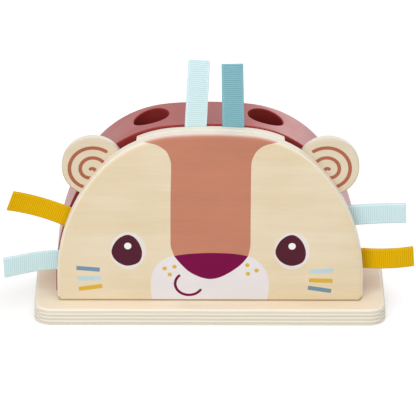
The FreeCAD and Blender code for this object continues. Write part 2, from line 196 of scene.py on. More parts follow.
# --- the printed face: each ink's shapes, later ones on top -------------------------------------

def patch_shape():
    """The brown band from the nose to the crown, whose sides flare out and run off the top edge."""
    left = through([(-24.6, 33.8), (-25.8, 37.2), (-27.1, 42.3), (-27.2, 51.9), (-27.2, 77.4),
                    (-26.8, 99.0), (-27.2, 105.0), (-29.4, 111.1), (-32.3, 114.3), (-35.1, 116.2),
                    (-38.0, 117.5), (-41.6, 118.3), (-44.9, 118.5), (-48.5, 118.6)])
    right = through([(25.8, 33.8), (26.8, 37.6), (27.5, 42.7), (27.5, 51.9), (27.5, 77.4),
                     (27.5, 97.0), (27.9, 105.0), (29.9, 110.4), (31.7, 113.0), (34.3, 115.4),
                     (37.5, 117.1), (40.6, 118.0), (43.8, 118.4), (48.5, 118.5)])
    return left + [Vector((-48.5, 130)), Vector((48.5, 130))] + right[::-1]


def muzzle_shape():
    left = through([(-39.7, -4), (-39.9, 0.6), (-40.6, 7.7), (-40.7, 14.4), (-40.1, 19.4),
                    (-38.1, 24.5), (-34.3, 29.6), (-29.9, 32.6), (-25.1, 34.1)])
    right = through([(25.9, 33.9), (30.7, 31.8), (34.9, 27.7), (38.5, 22.1), (40.1, 15.8),
                     (40.4, 10.6), (40.1, 6.4), (39.2, 0.7), (38.4, -4)])
    return left + right


def nose_shape():
    top = through([(-24.8, 34.0), (-18.2, 35.2), (-11.3, 35.9), (0.8, 36.4), (13.0, 36.0),
                   (19.8, 35.2), (25.9, 33.9)])
    bottom = through([(25.9, 33.9), (22.1, 28.7), (17.0, 24.1), (10.7, 19.9), (5.5, 17.5),
                      (0.7, 16.6), (-3.5, 17.0), (-8.6, 18.8), (-14.6, 22.3), (-20.4, 28.3),
                      (-24.8, 34.0)])
    return top[:-1] + bottom[:-1]


def pupil_shape(top):
    around = [(0, 0), (6.2, -4.0), (9.6, -12.8), (7.5, -20.6), (-0.7, -23.4), (-8.2, -19.6),
              (-11.3, -12.4), (-7.3, -3.8)]
    return through([(top[0] + x, top[1] + z) for x, z in around], closed=True)


def face_inks():
    dots = [(-31.2, 24.5), (-24.5, 25.8), (-27.7, 19.9), (25.5, 27.1), (31.8, 23.0), (25.9, 20.5)]
    smile = ellipse((-14.5, 13.0), 9.5, 8.6)[24:59]
    eyes = [ellipse((-56.2, 38.0), 12.16, 14.0), ellipse((56.0, 37.9), 12.16, 14.0)]
    gleams = [(-56.4, 41.5), (56.0, 41.5)]
    return [
        ("brown", [patch_shape()]),
        ("white", [muzzle_shape()]),
        ("eye_white", eyes),
        ("plum", [nose_shape(), stroke(smile, SMILE_WIDTH)]),
        ("dark_plum", [pupil_shape((-56.3, 50.0)), pupil_shape((55.9, 50.1))]),
        ("highlight", [ellipse(place, HIGHLIGHT_R, HIGHLIGHT_R, 32) for place in gleams]),
        ("slate", [whisker((-91.7, 24.8), (-75.7, 23.5)), whisker((67.2, 10.1), (83.3, 7.6))]),
        ("pale_blue", [whisker((-90.9, 16.6), (-74.7, 17.2)), whisker((68.2, 22.2), (84.4, 23.4))]),
        ("mustard", [whisker((-90.2, 8.8), (-74.1, 11.1)), whisker((67.9, 15.8), (84.1, 15.3))]
         + [ellipse(place, DOT_R, DOT_R, 20) for place in dots]),
    ]


def spiral(side, centre):
    """The ear's spiral: a short hook in the middle, then it opens evenly, clockwise on the left ear."""
    hook = through([(-0.45, 1.0), (0.5, 1.35), (1.6, 1.15), (2.6, 0.2), (3.3, -1.2)])
    line = [Vector((centre[0] - side * point.x, centre[1] + point.y)) for point in hook]
    for i in range(SPIRAL_STEPS + 1):
        turn = SPIRAL_START + SPIRAL_SWEEP * i / SPIRAL_STEPS
        radius = SPIRAL_INNER_R + SPIRAL_SPREAD * turn
        out, up = radius * math.cos(turn), radius * math.sin(turn)
        line.append(Vector((centre[0] - side * out, centre[1] - up)))
    return stroke(line, SPIRAL_WIDTH)


# --- outlines: (point, way outwards), anticlockwise --------------------------------------------

def arc_points(centre, radius, first, last, step=OUTLINE_STEP):
    count = max(3, math.ceil(radius * abs(last - first) / step))
    turns = [first + (last - first) * i / count for i in range(count + 1)]
    ways = [Vector((math.cos(turn), math.sin(turn))) for turn in turns]
    return [(centre + way * radius, way) for way in ways]


def face_outline():
    """Straight foot with small corners, then side, shoulder and top arcs that meet smoothly."""
    down = FACE_RISE - SHOULDER_DROP - FOOT_RISE
    side_r = (SIDE_LEAN ** 2 + down ** 2) / (2 * SIDE_LEAN)
    side_centre = Vector((FACE_WIDTH / 2 - side_r, FOOT_RISE))
    top_centre = Vector((0, FACE_RISE - TOP_R))
    joint = Vector((FACE_WIDTH / 2 - SIDE_LEAN, FACE_RISE - SHOULDER_DROP))
    outward = (joint - side_centre).normalized()
    from_top = joint - top_centre
    shoulder_r = (TOP_R ** 2 - from_top.length_squared) / (2 * (TOP_R - from_top.dot(outward)))
    shoulder_centre = joint - outward * shoulder_r
    corner_centre = Vector((FACE_WIDTH / 2 - FACE_CORNER_R, FACE_CORNER_R))
    lean = math.atan2(outward.y, outward.x)
    top_way = shoulder_centre - top_centre
    crown_turn = math.atan2(top_way.y, top_way.x)
    right = arc_points(corner_centre, FACE_CORNER_R, -math.pi / 2, 0, 0.6)
    right += arc_points(side_centre, side_r, 0, lean)
    right += arc_points(shoulder_centre, shoulder_r, lean, crown_turn)
    right += arc_points(top_centre, TOP_R, crown_turn, math.pi / 2)
    left = [(Vector((-p.x, p.y)), Vector((-way.x, way.y))) for p, way in reversed(right[:-1])]
    whole = []
    for point, way in right + left:
        if not whole or (point - whole[-1][0]).length > 1e-3:
            whole.append((point, way))
    return whole


def disc_outline(centre, radius):
    return arc_points(Vector(centre), radius, 0, 2 * math.pi, 1.2)[:-1]


# --- a printed board ----------------------------------------------------------------------------

def edge_round_at(way, edge_round):
    """The front edge's radius, which shrinks where the outline faces down."""
    foot_round = min(edge_round, FOOT_EDGE_ROUND)
    return edge_round + (foot_round - edge_round) * max(0.0, -way.y)


def nearest_on(outline, point):
    """How far inside the outline a point lies, and the outline's way outwards beside it."""
    best = None
    for i, (a, a_way) in enumerate(outline):
        b, b_way = outline[(i + 1) % len(outline)]
        span = b - a
        t = min(max((point - a).dot(span) / span.length_squared, 0), 1)
        away = (point - a - span * t).length
        if best is None or away < best[0]:
            best = (away, a_way.lerp(b_way, t).normalized())
    return best


def printed_board(name, outline, inks, front, back, edge_round, finishes):
    """A board whose inked shapes run on over its rounded front edge, with a crisp back edge.

    finishes names the materials: the bare front, then one for each ink, then the sawn edge.
    """
    count = len(outline)
    radii = [edge_round_at(way, edge_round) for _, way in outline]
    turns = [math.pi / 2 * (1 - k / ROUND_RINGS) for k in range(ROUND_RINGS + 1)]
    points, borders = [], []
    for turn in turns:
        first = len(points)
        points += [p - way * radius * (1 - math.sin(turn)) for (p, way), radius in zip(outline, radii)]
        borders += [(first + i, first + (i + 1) % count) for i in range(count)]
    shapes, colours = [list(range(count))], [0]
    for colour, (_, drawn) in enumerate(inks, 1):
        for shape in drawn:
            shapes.append(list(range(len(points), len(points) + len(shape))))
            colours.append(colour)
            points += anticlockwise(shape)
    flat = delaunay_2d_cdt([Vector(p[:2]) for p in points], borders, shapes, 1, 1e-5)
    corners, faces, givens, origins = flat[0], flat[2], flat[3], flat[5]
    kept = [(face, colours[max(origin)]) for face, origin in zip(faces, origins) if 0 in origin]
    used = sorted({corner for face, _ in kept for corner in face})
    place = {corner: i for i, corner in enumerate(used)}
    verts, normals = [], []
    for c in used:
        ringed = [g for g in givens[c] if g < count * len(turns)]
        if ringed:
            ring, i = divmod(ringed[0], count)
            turn, way, radius = turns[ring], outline[i][1], radii[i]
        else:
            inset, way = nearest_on(outline, corners[c])
            radius = edge_round_at(way, edge_round)
            turn = math.asin(min(max(1 - inset / radius, 0), 1))
        verts.append((corners[c].x, front + radius * (1 - math.cos(turn)), corners[c].y))
        normals.append(Vector((way.x * math.sin(turn), -math.cos(turn), way.y * math.sin(turn))))
    polygons = [[place[c] for c in face] for face, _ in kept]
    slots = [colour for _, colour in kept]
    edge_slot = len(inks) + 1
    crossings = rim_crossings(polygons)
    start = crossings[0][0]
    follow = dict(crossings)
    ring = [start]
    while follow[ring[-1]] != start:
        ring.append(follow[ring[-1]])
    ways = [Vector((normals[v].x, normals[v].z)).normalized() for v in ring]
    back_rings = ((0.0, back - BACK_EDGE_ROUND, math.pi / 2),
                  (-BACK_EDGE_ROUND, back, math.pi * 0.75))
    for grow, depth, turn in back_rings:
        outer = []
        for v, way in zip(ring, ways):
            outer.append(len(verts))
            x, _, z = verts[v]
            verts.append((x + way.x * grow, depth, z + way.y * grow))
            normals.append(Vector((way.x * math.sin(turn), -math.cos(turn), way.y * math.sin(turn))))
        for i in range(len(ring)):
            j = (i + 1) % len(ring)
            polygons.append([ring[j], ring[i], outer[i], outer[j]])
            slots.append(edge_slot)
        ring = outer
    polygons.append(list(reversed(ring)))
    slots.append(edge_slot)
    mesh = bpy.data.meshes.new(name)
    mesh.from_pydata([(x * MM, y * MM, BASE_THICK * MM + z * MM) for x, y, z in verts], [], polygons)
    for polygon, slot in zip(mesh.polygons, slots):
        polygon.material_index = slot
        polygon.use_smooth = True
    for finish in finishes:
        mesh.materials.append(finish)
    corner_normals = [normals[corner.vertex_index] for corner in mesh.loops]
    for k in mesh.polygons[-1].loop_indices:
        corner_normals[k] = Vector((0, 1, 0))
    mesh.normals_split_custom_set(corner_normals)
    board = bpy.data.objects.new(name, mesh)
    bpy.context.scene.collection.objects.link(board)
    return board


def rim_crossings(polygons):
    """The edges that only one face has, each from its first corner to its second."""
    edges = set()
    for face in polygons:
        for a, b in zip(face, face[1:] + face[:1]):
            if (b, a) in edges:
                edges.remove((b, a))
            else:
                edges.add((a, b))
    return list(edges)


# --- shader building ----------------------------------------------------------------------------

def add(tree, kind, inputs=None, **settings):
    """A node with its settings; an input takes a number, a colour or another node's socket."""
    node = tree.nodes.new(kind)
    for key, value in settings.items():
        setattr(node, key, value)
    for key, value in (inputs or {}).items():
        if isinstance(value, bpy.types.NodeSocket):
            tree.links.new(value, node.inputs[key])
        else:
            node.inputs[key].default_value = value
    return node


def calc(tree, operation, a, b=0.0, c=0.0):
    return add(tree, "ShaderNodeMath", {0: a, 1: b, 2: c}, operation=operation).outputs[0]


def between(tree, value, low, high, to_low=0.0, to_high=1.0):
    """Carries low..high of a value smoothly to to_low..to_high."""
    return add(tree, "ShaderNodeMapRange", {0: value, 1: low, 2: high, 3: to_low, 4: to_high},
               interpolation_type="SMOOTHSTEP").outputs[0]


def blend(tree, share, first, second):
    """A colour that goes from the first to the second as the share goes from 0 to 1."""
    node = add(tree, "ShaderNodeMix", {0: share, 6: first, 7: second}, data_type="RGBA")
    return node.outputs[2]


def stretched_noise(tree, place, scale, detail=3.0, roughness=0.55):
    """Noise whose grains are 1/scale metres long on each axis."""
    moved = add(tree, "ShaderNodeMapping", {"Vector": place, "Scale": scale})
    noise = add(tree, "ShaderNodeTexNoise", {"Vector": moved.outputs[0], "Scale": 1.0, "Detail": detail,
                                             "Roughness": roughness})
    return noise.outputs["Fac"]


def new_group(name, inputs, outputs):
    """An empty shader group with its sockets, its input node and its output node."""
    tree = bpy.data.node_groups.new(name, "ShaderNodeTree")
    for label, kind, start in inputs:
        socket = tree.interface.new_socket(label, in_out="INPUT", socket_type=kind)
        if start is not None:
            socket.default_value = start
    for label, kind in outputs:
        tree.interface.new_socket(label, in_out="OUTPUT", socket_type=kind)
    return tree, tree.nodes.new("NodeGroupInput"), tree.nodes.new("NodeGroupOutput")


def placed(tree, group, inputs):
    """The group as a node in a material, with its own values."""
    return add(tree, "ShaderNodeGroup", inputs, node_tree=group)


def birch_grain_group():
    """Veneer: fine streaks along X, soft clouds and a few short flecks, as colour and height."""
    tree, start, end = new_group(
        "birch_grain",
        [("Place", "NodeSocketVector", None), ("Pale", "NodeSocketColor", None),
         ("Deep", "NodeSocketColor", None), ("Streaks", "NodeSocketFloat", 0.5),
         ("Clouds", "NodeSocketFloat", 0.5)],
        [("Color", "NodeSocketColor"), ("Height", "NodeSocketFloat")])
    place = start.outputs["Place"]
    fine = stretched_noise(tree, place, (45, 900, 1500), 3.0, 0.6)
    broad = stretched_noise(tree, place, (14, 90, 170), 3.0, 0.55)
    cloud = stretched_noise(tree, place, (16, 30, 26), 2.0, 0.5)
    fleck = stretched_noise(tree, place, (150, 900, 1100), 1.0, 0.4)
    streaks = calc(tree, "ADD", calc(tree, "MULTIPLY", between(tree, fine, 0.3, 0.7), 0.5),
                   calc(tree, "MULTIPLY", between(tree, broad, 0.32, 0.68), 0.5))
    clouds = between(tree, cloud, 0.3, 0.7)
    depth = calc(tree, "ADD", calc(tree, "MULTIPLY", streaks, start.outputs["Streaks"]),
                 calc(tree, "MULTIPLY", clouds, start.outputs["Clouds"]))
    flecks = calc(tree, "MULTIPLY", between(tree, fleck, 0.72, 0.84), 0.35)
    share = calc(tree, "MINIMUM", calc(tree, "ADD", depth, flecks), 1.0)
    tree.links.new(blend(tree, share, start.outputs["Pale"], start.outputs["Deep"]), end.inputs["Color"])
    tree.links.new(calc(tree, "SUBTRACT", 1.0, calc(tree, "ADD", streaks, flecks)), end.inputs["Height"])
    return tree


def ply_layers_group():
    """Plywood's cut edge from its depth in the board: which ply it is, and the glue lines."""
    tree, start, end = new_group(
        "ply_layers",
        [("Depth", "NodeSocketFloat", 0.0), ("Board", "NodeSocketFloat", 0.012),
         ("Plies", "NodeSocketFloat", 9.0), ("Waver", "NodeSocketFloat", 0.0)],
        [("Cross Ply", "NodeSocketFloat"), ("Glue Line", "NodeSocketFloat")])
    count = calc(tree, "MULTIPLY", calc(tree, "DIVIDE", start.outputs["Depth"], start.outputs["Board"]),
                 start.outputs["Plies"])
    count = calc(tree, "ADD", count, start.outputs["Waver"])
    wave = calc(tree, "PINGPONG", count, 1.0)
    odd = calc(tree, "PINGPONG", calc(tree, "SUBTRACT", count, 0.5), 1.0)
    tree.links.new(between(tree, odd, 0.42, 0.58), end.inputs["Cross Ply"])
    near = calc(tree, "MINIMUM", wave, calc(tree, "SUBTRACT", 1.0, wave))
    tree.links.new(between(tree, near, 0.02, 0.13, 1.0, 0.0), end.inputs["Glue Line"])
    return tree


def grosgrain_group():
    """Ribbon: darker valleys between its ribs as painted shade, plain selvedges and fine threads, from its
    UVs.
    """
    tree, start, end = new_group(
        "grosgrain",
        [("UV", "NodeSocketVector", None), ("Color", "NodeSocketColor", None),
         ("Valley Shade", "NodeSocketColor", None), ("Pitch", "NodeSocketFloat", RIB_PITCH * MM),
         ("Half Width", "NodeSocketFloat", RIBBON_WIDTH / 2 * MM),
         ("Selvedge", "NodeSocketFloat", SELVEDGE * MM)],
        [("Color", "NodeSocketColor"), ("Height", "NodeSocketFloat"),
         ("Selvedge", "NodeSocketFloat")])
    split = add(tree, "ShaderNodeSeparateXYZ", {0: start.outputs["UV"]})
    across, along = split.outputs[0], split.outputs[1]
    turn = calc(tree, "MULTIPLY", calc(tree, "DIVIDE", along, start.outputs["Pitch"]), math.pi)
    rib = calc(tree, "ABSOLUTE", calc(tree, "SINE", turn))
    inner = calc(tree, "SUBTRACT", start.outputs["Half Width"], start.outputs["Selvedge"])
    edge = calc(tree, "GREATER_THAN", calc(tree, "ABSOLUTE", across), inner)
    threads = stretched_noise(tree, start.outputs["UV"], (5200, 900, 1), 2.0, 0.6)
    ribbed = calc(tree, "SUBTRACT", 1.0, edge)
    # the valleys between the ribs are painted darker: painted shade
    valley_shade = calc(tree, "MULTIPLY", between(tree, rib, 0.05, 0.75, 1.0, 0.0), ribbed)
    uneven = calc(tree, "MULTIPLY", between(tree, threads, 0.3, 0.7), 0.28)
    share = calc(tree, "MINIMUM", calc(tree, "ADD", valley_shade, uneven), 1.0)
    colour = blend(tree, share, start.outputs["Color"], start.outputs["Valley Shade"])
    height = calc(tree, "ADD", calc(tree, "MULTIPLY", threads, 0.5), calc(tree, "MULTIPLY", rib, 0.5))
    tree.links.new(colour, end.inputs["Color"])
    tree.links.new(height, end.inputs["Height"])
    tree.links.new(edge, end.inputs["Selvedge"])
    return tree


def smudge_group():
    """Uneven polish: slow patches and fine grit for roughness and for a faint bump."""
    tree, start, end = new_group(
        "smudge",
        [("Place", "NodeSocketVector", None), ("Patch", "NodeSocketFloat", 60.0),
         ("Grit", "NodeSocketFloat", 1800.0)],
        [("Patches", "NodeSocketFloat"), ("Grit", "NodeSocketFloat")])
    place = start.outputs["Place"]
    patches = add(tree, "ShaderNodeTexNoise", {"Vector": place, "Scale": start.outputs["Patch"],
                                               "Detail": 3.0, "Roughness": 0.5})
    grit = add(tree, "ShaderNodeTexNoise", {"Vector": place, "Scale": start.outputs["Grit"],
                                            "Detail": 2.0, "Roughness": 0.5})
    tree.links.new(between(tree, patches.outputs["Fac"], 0.3, 0.7), end.inputs["Patches"])
    tree.links.new(grit.outputs["Fac"], end.inputs["Grit"])
    return tree


GRAIN = birch_grain_group()
PLIES = ply_layers_group()
WEAVE = grosgrain_group()
SMUDGE = smudge_group()


def new_material(name):
    material = bpy.data.materials.new(name)
    material.use_nodes = True
    tree = material.node_tree
    shader = tree.nodes["Principled BSDF"]
    place = tree.nodes.new("ShaderNodeTexCoord").outputs["Object"]
    return material, tree, shader, place


def bumped(tree, shader, height, distance, strength=1.0):
    bump = add(tree, "ShaderNodeBump", {"Height": height, "Distance": distance, "Strength": strength})
    tree.links.new(bump.outputs[0], shader.inputs["Normal"])


def set_colour(tree, shader, colour, roughness):
    tree.links.new(colour, shader.inputs["Base Color"])
    tree.links.new(roughness, shader.inputs["Roughness"])


def depth_behind(tree, place, front):
    """How far a point lies behind a board's front, in metres."""
    split = add(tree, "ShaderNodeSeparateXYZ", {0: place})
    return calc(tree, "SUBTRACT", split.outputs[1], front * MM)


def facing(tree):
    """Which way the surface faces, as its parts along X, Y and Z."""
    normal = add(tree, "ShaderNodeNewGeometry").outputs["Normal"]
    return add(tree, "ShaderNodeSeparateXYZ", {0: normal}).outputs


def painted_shade_along_foot(tree, colour):
    """The colour, but darker on the down-facing edge along a board's foot: a painted contact shade."""
    return blend(tree, between(tree, facing(tree)[2], -0.35, 0.0, 1.0, 0.0), colour, FOOT_PAINTED_SHADE)


def veneer(name, pale, deep, front, rim, rim_depth, streaks=0.45, clouds=0.35, rough=0.46):
    """The bare front of a board, with its own tone on the rounded edge: on the face it is paler, partly
    sanded wood and partly a painted highlight; on the ears it is a little darker.
    """
    material, tree, shader, place = new_material(name)
    grain = placed(tree, GRAIN, {"Place": place, "Pale": pale, "Deep": deep, "Streaks": streaks,
                                 "Clouds": clouds})
    # the rounded edge's tone: on the face paler sanded wood with a painted highlight, on the ears a little
    # darker
    sanded = between(tree, depth_behind(tree, place, front), 0.2 * MM, rim_depth * MM)
    polish = placed(tree, SMUDGE, {"Place": place})
    # the down-facing edge along the foot is painted darker as shade
    set_colour(tree, shader, painted_shade_along_foot(tree, blend(tree, sanded, grain.outputs["Color"], rim)),
               between(tree, polish.outputs["Patches"], 0, 1, rough - 0.05, rough + 0.06))
    bumped(tree, shader, grain.outputs["Height"], 0.00004)
    shader.inputs["Specular IOR Level"].default_value = 0.4
    return material


def ink_on_birch(name, colour, worn, grain_shows, front, fade_depth=2.4, fade=0.85, rough=0.42):
    """Screen ink: the grain shows through a little, and it thins out round the board's edge."""
    material, tree, shader, place = new_material(name)
    deep = tuple(c * (1 - grain_shows) for c in colour[:3]) + (1.0,)
    grain = placed(tree, GRAIN, {"Place": place, "Pale": colour, "Deep": deep, "Streaks": 0.55,
                                 "Clouds": 0.45})
    depth = depth_behind(tree, place, front)
    thin = between(tree, depth, 0.25 * MM, fade_depth * MM, 0.0, fade)
    polish = placed(tree, SMUDGE, {"Place": place})
    # the down-facing edge along the foot is painted darker as shade
    set_colour(tree, shader, painted_shade_along_foot(tree, blend(tree, thin, grain.outputs["Color"], worn)),
               between(tree, polish.outputs["Patches"], 0, 1, rough - 0.05, rough + 0.06))
    bumped(tree, shader, grain.outputs["Height"], 0.00003)
    shader.inputs["Specular IOR Level"].default_value = 0.06
    return material


def sawn_plywood(name, axis, lowest, board, plies, pale, deep, sawn, dark, contrast, rough=0.5):
    """A board with a veneered face, pale to deep, and its plies showing on the cut edges.

    Plies lie across the given axis. On a cut they look sawn, and those with their grain across the
    cut look dark, so the two pairs of edges have opposite bands.
    """
    material, tree, shader, place = new_material(name)
    grain = placed(tree, GRAIN, {"Place": place, "Pale": pale, "Deep": deep, "Streaks": 0.4,
                                 "Clouds": 0.4})
    depth = add(tree, "ShaderNodeSeparateXYZ", {0: place}).outputs[axis]
    wander = calc(tree, "SUBTRACT", stretched_noise(tree, place, (22, 22, 22), 2.0), 0.5)
    layers = placed(tree, PLIES, {"Depth": calc(tree, "SUBTRACT", depth, lowest), "Board": board,
                                  "Plies": plies, "Waver": calc(tree, "MULTIPLY", wander, 0.35)})
    faces = facing(tree)
    flat = between(tree, calc(tree, "ABSOLUTE", faces[axis]), 0.80, 0.96)
    cut = calc(tree, "SUBTRACT", 1.0, flat)
    swap = between(tree, calc(tree, "ABSOLUTE", faces[0]), 0.55, 0.85)
    cross = layers.outputs["Cross Ply"]
    swapped = calc(tree, "SUBTRACT", 1.0, cross)
    end_grain = add(tree, "ShaderNodeMix", {0: swap, 2: cross, 3: swapped}).outputs[0]
    bands = calc(tree, "ADD", calc(tree, "MULTIPLY", end_grain, 0.75),
                 calc(tree, "MULTIPLY", layers.outputs["Glue Line"], 0.45))
    shade = calc(tree, "MULTIPLY", bands, calc(tree, "MULTIPLY", cut, contrast))
    wood = blend(tree, cut, grain.outputs["Color"], sawn)
    set_colour(tree, shader, blend(tree, calc(tree, "MINIMUM", shade, 1.0), wood, dark),
               between(tree, shade, 0, 1, rough, rough + 0.15))
    sunk = calc(tree, "MULTIPLY", shade, 0.6)
    bumped(tree, shader, calc(tree, "SUBTRACT", grain.outputs["Height"], sunk), 0.00005)
    shader.inputs["Specular IOR Level"].default_value = 0.4
    return material


def painted_shade_and_dull_recesses(tree, place):
    """1 on the block's glued front and in its holes, where the lacquer gets painted shade, a darker red,
    and is rougher and uncoated.
    """
    split = add(tree, "ShaderNodeSeparateXYZ", {0: place})
    across, back = split.outputs[0], split.outputs[1]
    from_middle = calc(tree, "ABSOLUTE", calc(tree, "SUBTRACT", across, BLOCK_ACROSS * MM))
    aside = calc(tree, "SUBTRACT", from_middle, HOLE_ACROSS * MM)
    behind = calc(tree, "SUBTRACT", back, HOLE_Y * MM)
    squares = calc(tree, "ADD", calc(tree, "MULTIPLY", aside, aside),
                   calc(tree, "MULTIPLY", behind, behind))
    from_axis = calc(tree, "SQRT", squares)
    in_hole = between(tree, from_axis, (HOLE_R + 0.1) * MM, (HOLE_R + 0.6) * MM, 1.0, 0.0)
    on_front = between(tree, back, (BLOCK_FRONT + 0.1) * MM, (BLOCK_FRONT + 0.9) * MM, 1.0, 0.0)
    return calc(tree, "MAXIMUM", in_hole, on_front)


def red_lacquer():
    """Satin paint over wood: the grain barely shows, it is polished unevenly, and the block's front and
    holes are painted darker as shade.
    """
    material, tree, shader, place = new_material("red_satin_lacquer")
    inside = painted_shade_and_dull_recesses(tree, place)
    grain = placed(tree, GRAIN, {"Place": place, "Pale": paint(160, 26, 26), "Deep": paint(150, 20, 22),
                                 "Streaks": 0.4, "Clouds": 0.5})
    polish = placed(tree, SMUDGE, {"Place": place, "Patch": 38.0, "Grit": 900.0})
    polished = between(tree, polish.outputs["Patches"], 0, 1, 0.31, 0.39)
    # the darker red on the block's front and in its holes is painted shade
    set_colour(tree, shader, blend(tree, inside, grain.outputs["Color"], paint(124, 13, 17)),
               calc(tree, "MAXIMUM", polished, calc(tree, "MULTIPLY", inside, 0.8)))
    uneven = calc(tree, "ADD", polish.outputs["Grit"], grain.outputs["Height"])
    bumped(tree, shader, uneven, 0.00003, 0.6)
    shader.inputs["Specular IOR Level"].default_value = 0.92
    shader.inputs["Specular Tint"].default_value = paint(255, 205, 192)
    tree.links.new(between(tree, inside, 0, 1, 0.4, 0.0), shader.inputs["Coat Weight"])
    shader.inputs["Coat Roughness"].default_value = 0.3
    return material


def beech():
    material, tree, shader, place = new_material("sanded_beech")
    grain = placed(tree, GRAIN, {"Place": place, "Pale": paint(226, 196, 158), "Deep": paint(196, 158, 118),
                                 "Streaks": 0.6, "Clouds": 0.4})
    polish = placed(tree, SMUDGE, {"Place": place})
    set_colour(tree, shader, grain.outputs["Color"],
               between(tree, polish.outputs["Patches"], 0, 1, 0.5, 0.62))
    bumped(tree, shader, grain.outputs["Height"], 0.00006)
    return material


def zinc():
    material, tree, shader, place = new_material("bright_zinc")
    polish = placed(tree, SMUDGE, {"Place": place, "Patch": 220.0, "Grit": 2600.0})
    colour = blend(tree, polish.outputs["Patches"], paint(196, 198, 202), paint(172, 176, 182))
    set_colour(tree, shader, colour, between(tree, polish.outputs["Patches"], 0, 1, 0.28, 0.42))
    shader.inputs["Metallic"].default_value = 1.0
    bumped(tree, shader, polish.outputs["Grit"], 0.00002)
    return material


def ribbon_cloth(name, colour, valley_shade, selvedge):
    material, tree, shader, _ = new_material(name)
    uv = tree.nodes.new("ShaderNodeUVMap").outputs[0]
    cloth = placed(tree, WEAVE, {"UV": uv, "Color": colour, "Valley Shade": valley_shade})
    plain = calc(tree, "MULTIPLY", cloth.outputs["Selvedge"], 0.6)
    tone = blend(tree, plain, cloth.outputs["Color"], selvedge)
    set_colour(tree, shader, tone, between(tree, cloth.outputs["Height"], 0, 1, 0.78, 0.6))
    bumped(tree, shader, cloth.outputs["Height"], 0.00006)
    shader.inputs["Specular IOR Level"].default_value = 0.08
    return material


# --- ribbon loops -------------------------------------------------------------------------------

def outline_place(side, place, outline):
    """Where a ribbon leaves the outline: at a place across on the top, or at a rise on a side."""
    axis = 0 if side == "top" else 1
    for i, (point, _) in enumerate(outline):
        after = outline[(i + 1) % len(outline)][0]
        if side == "top":
            on_side = point.y > FACE_RISE / 2
        else:
            on_side = (point.x > 0) == (side == "right")
        low, high = sorted((point[axis], after[axis]))
        if on_side and low <= place <= high and high > low:
            return point.lerp(after, (place - point[axis]) / (after[axis] - point[axis]))
    raise ValueError(f"no place {place} on the {side}")


def loop_path(reach, start_slope, tip_slope, tip_back):
    """The loop seen edge-on, as (out, back): out along the front layer, round, and back."""
    tail = Vector((-SPACER_INSET - RIBBON_GRIP, 0))
    leave = Vector((RIBBON_FLAT_RUN, 0))
    tip = Vector((reach, reach * tip_back))
    span = (tip - leave).length
    first = Vector((1, start_slope)).normalized() * span
    last = Vector((1, tip_slope)).normalized() * span
    middle = [(tail.lerp(leave, i / TAIL_STEPS), Vector((1, 0))) for i in range(TAIL_STEPS)]
    for i in range(LOOP_STEPS + 1):
        t = i / LOOP_STEPS
        at = leave.lerp(tip, 3 * t * t - 2 * t ** 3)
        at += first * (t ** 3 - 2 * t * t + t) + last * (t ** 3 - t * t)
        way = (tip - leave) * (6 * t - 6 * t * t)
        way += first * (3 * t * t - 4 * t + 1) + last * (3 * t * t - 2 * t)
        middle.append((at, way.normalized()))
    half = (CLOTH_THICK + LOOP_GAP) / 2
    front, back = [], []
    for i, (at, way) in enumerate(middle):
        open_share = max(0.0, (i - TAIL_STEPS) / LOOP_STEPS)
        puff = half + LOOP_PUFF * (open_share ** 3) * (1 - LOOP_PUFF_EASE * open_share)
        side = Vector((-way.y, way.x))
        front.append(at - side * puff)
        back.append(at + side * puff)
    end_at, end_way = middle[-1]
    end_half = (back[-1] - front[-1]).length / 2
    side = Vector((-end_way.y, end_way.x)) * end_half
    ahead = end_way * end_half * TIP_BLUNT
    turn_round = []
    for k in range(1, TIP_STEPS):
        turn = math.pi * k / TIP_STEPS
        turn_round.append(end_at - side * math.cos(turn) + ahead * math.sin(turn))
    line = front + turn_round + back[::-1]
    return [point - ahead * max(0.0, min(1.0, point.x / reach)) for point in line]


def even_steps(line, step):
    """The same line with points evenly spaced, and each point's distance along it."""
    lengths = [0.0]
    for a, b in zip(line, line[1:]):
        lengths.append(lengths[-1] + (b - a).length)
    count = math.ceil(lengths[-1] / step)
    made, k = [], 0
    for i in range(count + 1):
        want = lengths[-1] * i / count
        while k < len(line) - 2 and lengths[k + 1] < want:
            k += 1
        share = (want - lengths[k]) / max(lengths[k + 1] - lengths[k], 1e-9)
        made.append((line[k].lerp(line[k + 1], min(max(share, 0), 1)), want))
    return made


